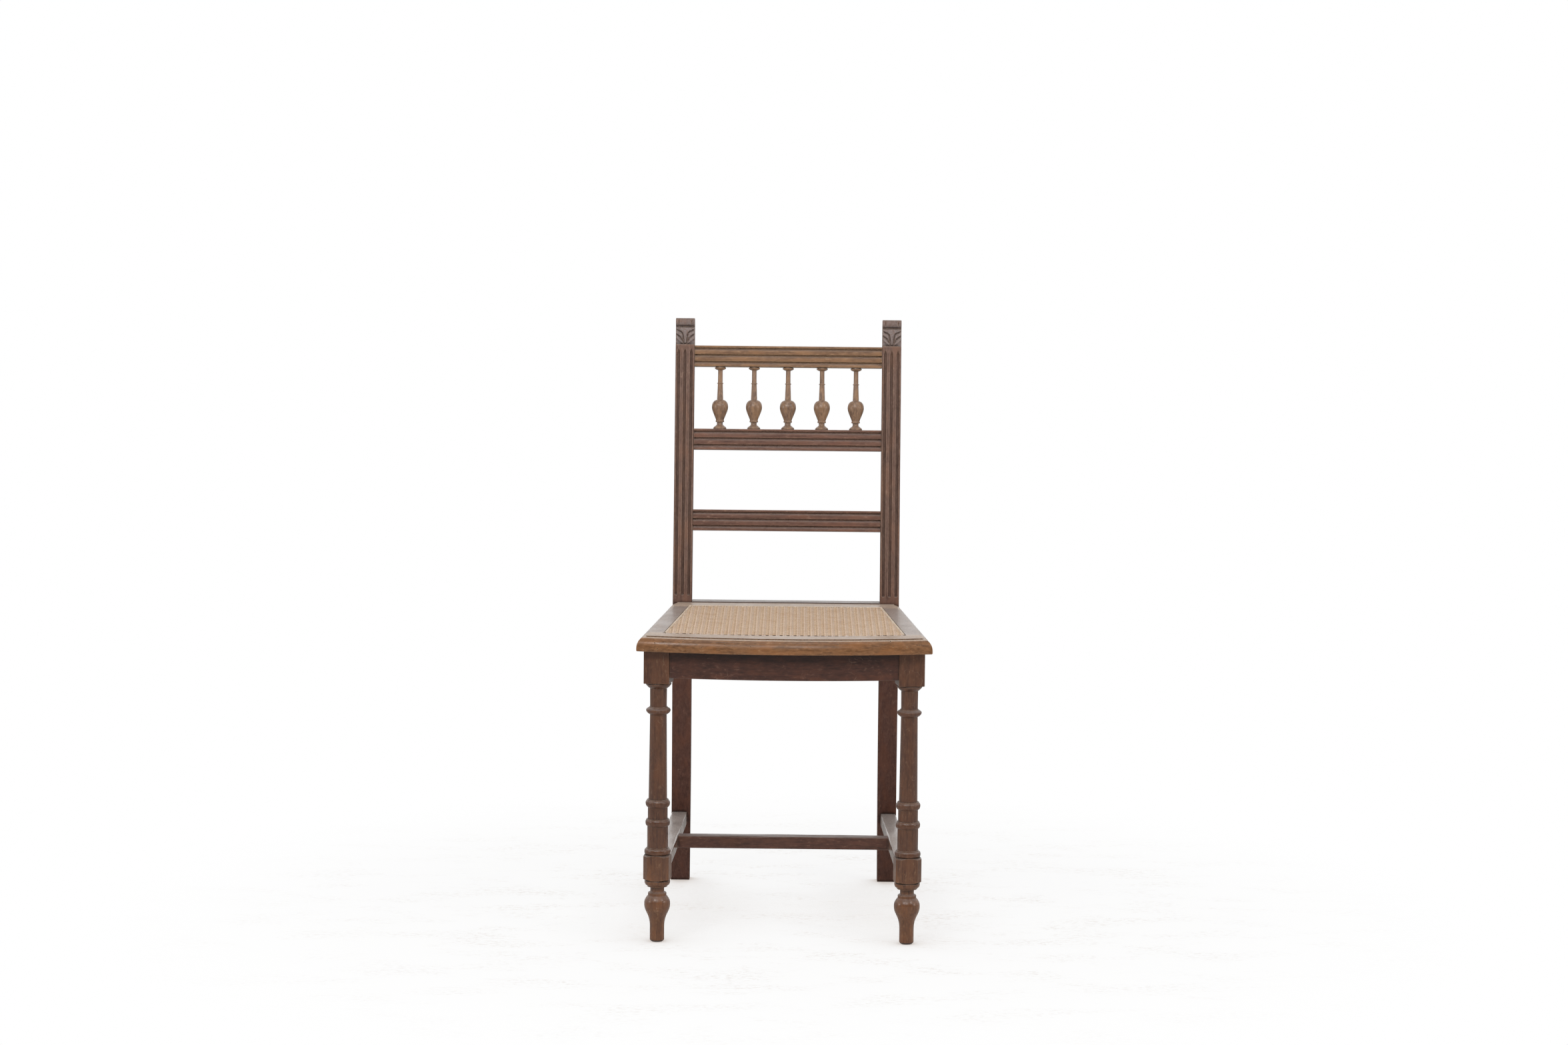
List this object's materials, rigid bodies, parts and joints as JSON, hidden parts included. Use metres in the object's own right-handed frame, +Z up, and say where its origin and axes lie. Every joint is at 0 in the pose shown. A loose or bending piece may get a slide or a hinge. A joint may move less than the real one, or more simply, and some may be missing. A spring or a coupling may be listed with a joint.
{
  "type": "caned dining side chair",
  "caption": "Stained wooden side chair with turned front legs, fluted leaning back posts, a row of turned spindles between moulded rails and a caned seat.",
  "frame": {"origin": "on the floor, under the centre of the chair's bounding box", "axes": "+X to the right as seen from the front, +Y to the back, +Z up"},
  "size_m": [0.4294, 0.5296, 0.89],
  "materials": {
    "dark_walnut": "dark stained and waxed, worn on the arrises",
    "walnut": "stained and waxed, satin, dusty on top",
    "worn_walnut": "worn golden brown wax, satin",
    "cane": "natural split cane, matt",
    "screw_steel": "dull old steel"
  },
  "bodies": {
    "root": {"left_back_post": "dark_walnut", "right_back_post": "dark_walnut", "left_side_apron": "dark_walnut", "right_side_apron": "dark_walnut", "front_apron": "dark_walnut", "back_apron": "dark_walnut", "front_left_glue_block": "dark_walnut", "front_right_glue_block": "dark_walnut", "rear_left_glue_block": "dark_walnut", "rear_right_glue_block": "dark_walnut", "left_front_leg": "walnut", "right_front_leg": "walnut", "left_side_stretcher": "walnut", "right_side_stretcher": "walnut", "cross_stretcher": "walnut", "middle_rail": "walnut", "lower_rail": "walnut", "spindle_1": "walnut", "spindle_2": "walnut", "spindle_3": "walnut", "spindle_4": "walnut", "spindle_5": "walnut", "seat_front_rail": "walnut", "seat_back_rail": "walnut", "seat_left_rail": "walnut", "seat_right_rail": "walnut", "top_rail": "worn_walnut", "cane_panel": "cane", "front_left_seat_screw": "screw_steel", "front_right_seat_screw": "screw_steel", "rear_left_seat_screw": "screw_steel", "rear_right_seat_screw": "screw_steel"}
  },
  "joints": []
}
